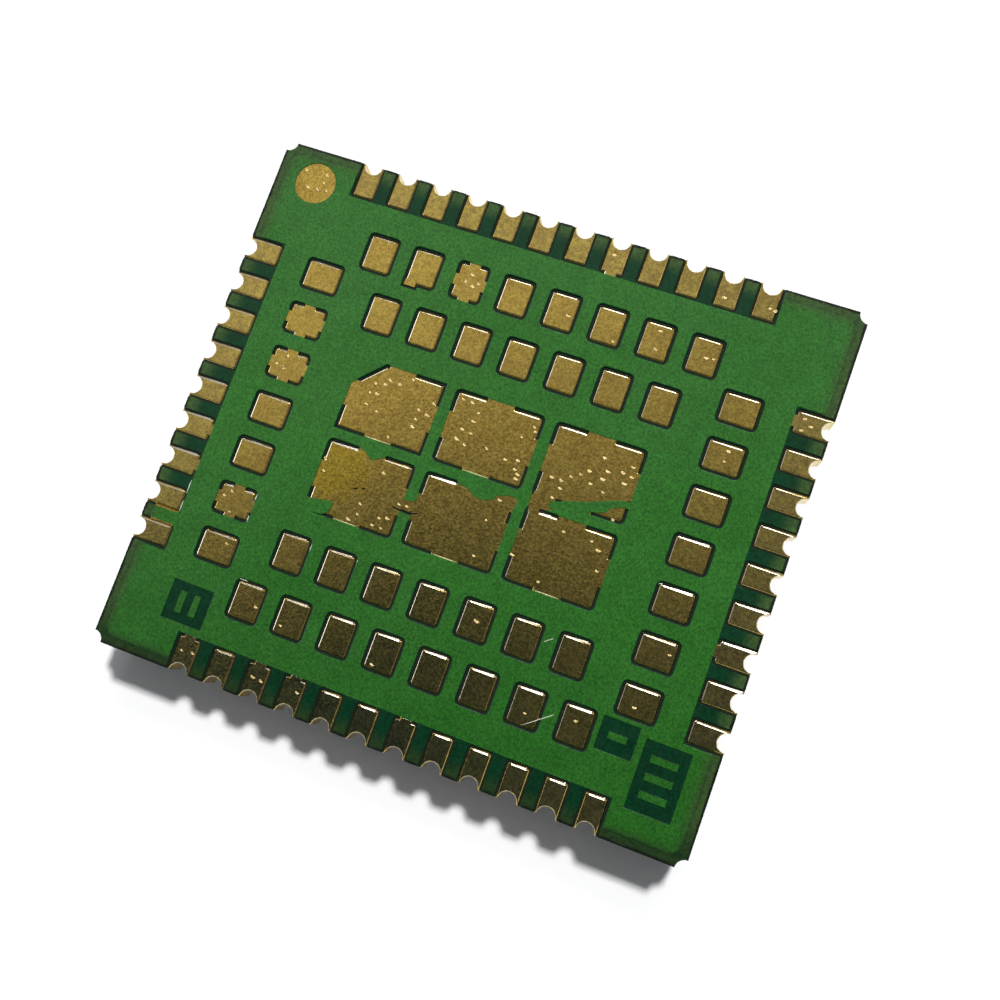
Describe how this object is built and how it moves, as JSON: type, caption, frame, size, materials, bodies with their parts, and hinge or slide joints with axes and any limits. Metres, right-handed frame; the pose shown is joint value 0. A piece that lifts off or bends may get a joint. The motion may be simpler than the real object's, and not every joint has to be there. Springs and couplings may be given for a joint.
{
  "type": "lte module",
  "caption": "Surface-mount cellular radio module: small green board with gold lands and plated half-hole edge contacts over a folded shield can; adds a mobile data link to a host board.",
  "frame": {"origin": "centre of the shield lid's outer face, on which the module lies", "axes": "+X along the long board edges, +Y towards the edge by the round corner mark, +Z out of the land side"},
  "size_m": [0.0176, 0.0156, 0.0023],
  "materials": {
    "laminate": "cut glass-epoxy edge, dark olive green",
    "land_mask": "satin green solder mask, darker where no copper lies under it",
    "component_mask": "satin green solder mask",
    "ground_copper": "gold finish over copper, finely grained",
    "contact_gold": "gold finish over copper, finely grained",
    "land_gold": "gold finish over copper, finely grained",
    "gold_pads": "gold finish",
    "shield_sheet": "rolled nickel silver sheet",
    "solder": "bright tin",
    "package_substrate": "green package substrate",
    "mould": "black moulding compound",
    "ferrite": "dark ferrite or glass coat",
    "white_ceramic": "white ceramic",
    "tan_ceramic": "tan ceramic",
    "metal_lid": "nickel-plated lid"
  },
  "bodies": {
    "root": {"laminate": "laminate", "ground_plane": "ground_copper", "window_bars": "ground_copper", "land_mask": "land_mask", "contacts_north": "contact_gold", "contacts_west": "contact_gold", "contacts_south": "contact_gold", "contacts_east": "contact_gold", "lands_north_outer": "land_gold", "lands_north_inner": "land_gold", "lands_west": "land_gold", "lands_south_inner": "land_gold", "lands_south_outer": "land_gold", "lands_east": "land_gold", "component_copper": "gold_pads", "component_mask": "component_mask", "shield_frame": "shield_sheet", "shield_lid": "shield_sheet", "processor_balls": "solder", "processor_substrate": "package_substrate", "processor_mould": "mould", "memory_leads": "solder", "memory_body": "mould", "radio_leads": "solder", "radio_body": "mould", "manager_leads": "solder", "manager_body": "mould", "amplifier_lands": "gold_pads", "amplifier_substrate": "package_substrate", "amplifier_mould": "mould", "switch_lands": "gold_pads", "switch_body": "mould", "duplexer_lands": "gold_pads", "duplexer_bases": "white_ceramic", "duplexer_lids": "gold_pads", "filter_lands": "gold_pads", "filter_bodies": "white_ceramic", "oscillator_lands": "gold_pads", "oscillator_base": "tan_ceramic", "oscillator_lid": "metal_lid", "crystal_lands": "gold_pads", "crystal_base": "tan_ceramic", "crystal_lid": "metal_lid", "inductor_bodies": "ferrite", "inductor_terminals": "solder", "bulk_capacitor_bodies": "tan_ceramic", "bulk_capacitor_terminals": "solder", "capacitor_bodies": "tan_ceramic", "capacitor_terminals": "solder", "small_capacitor_bodies": "tan_ceramic", "small_capacitor_terminals": "solder", "resistor_bodies": "ferrite", "resistor_terminals": "solder"}
  },
  "joints": []
}
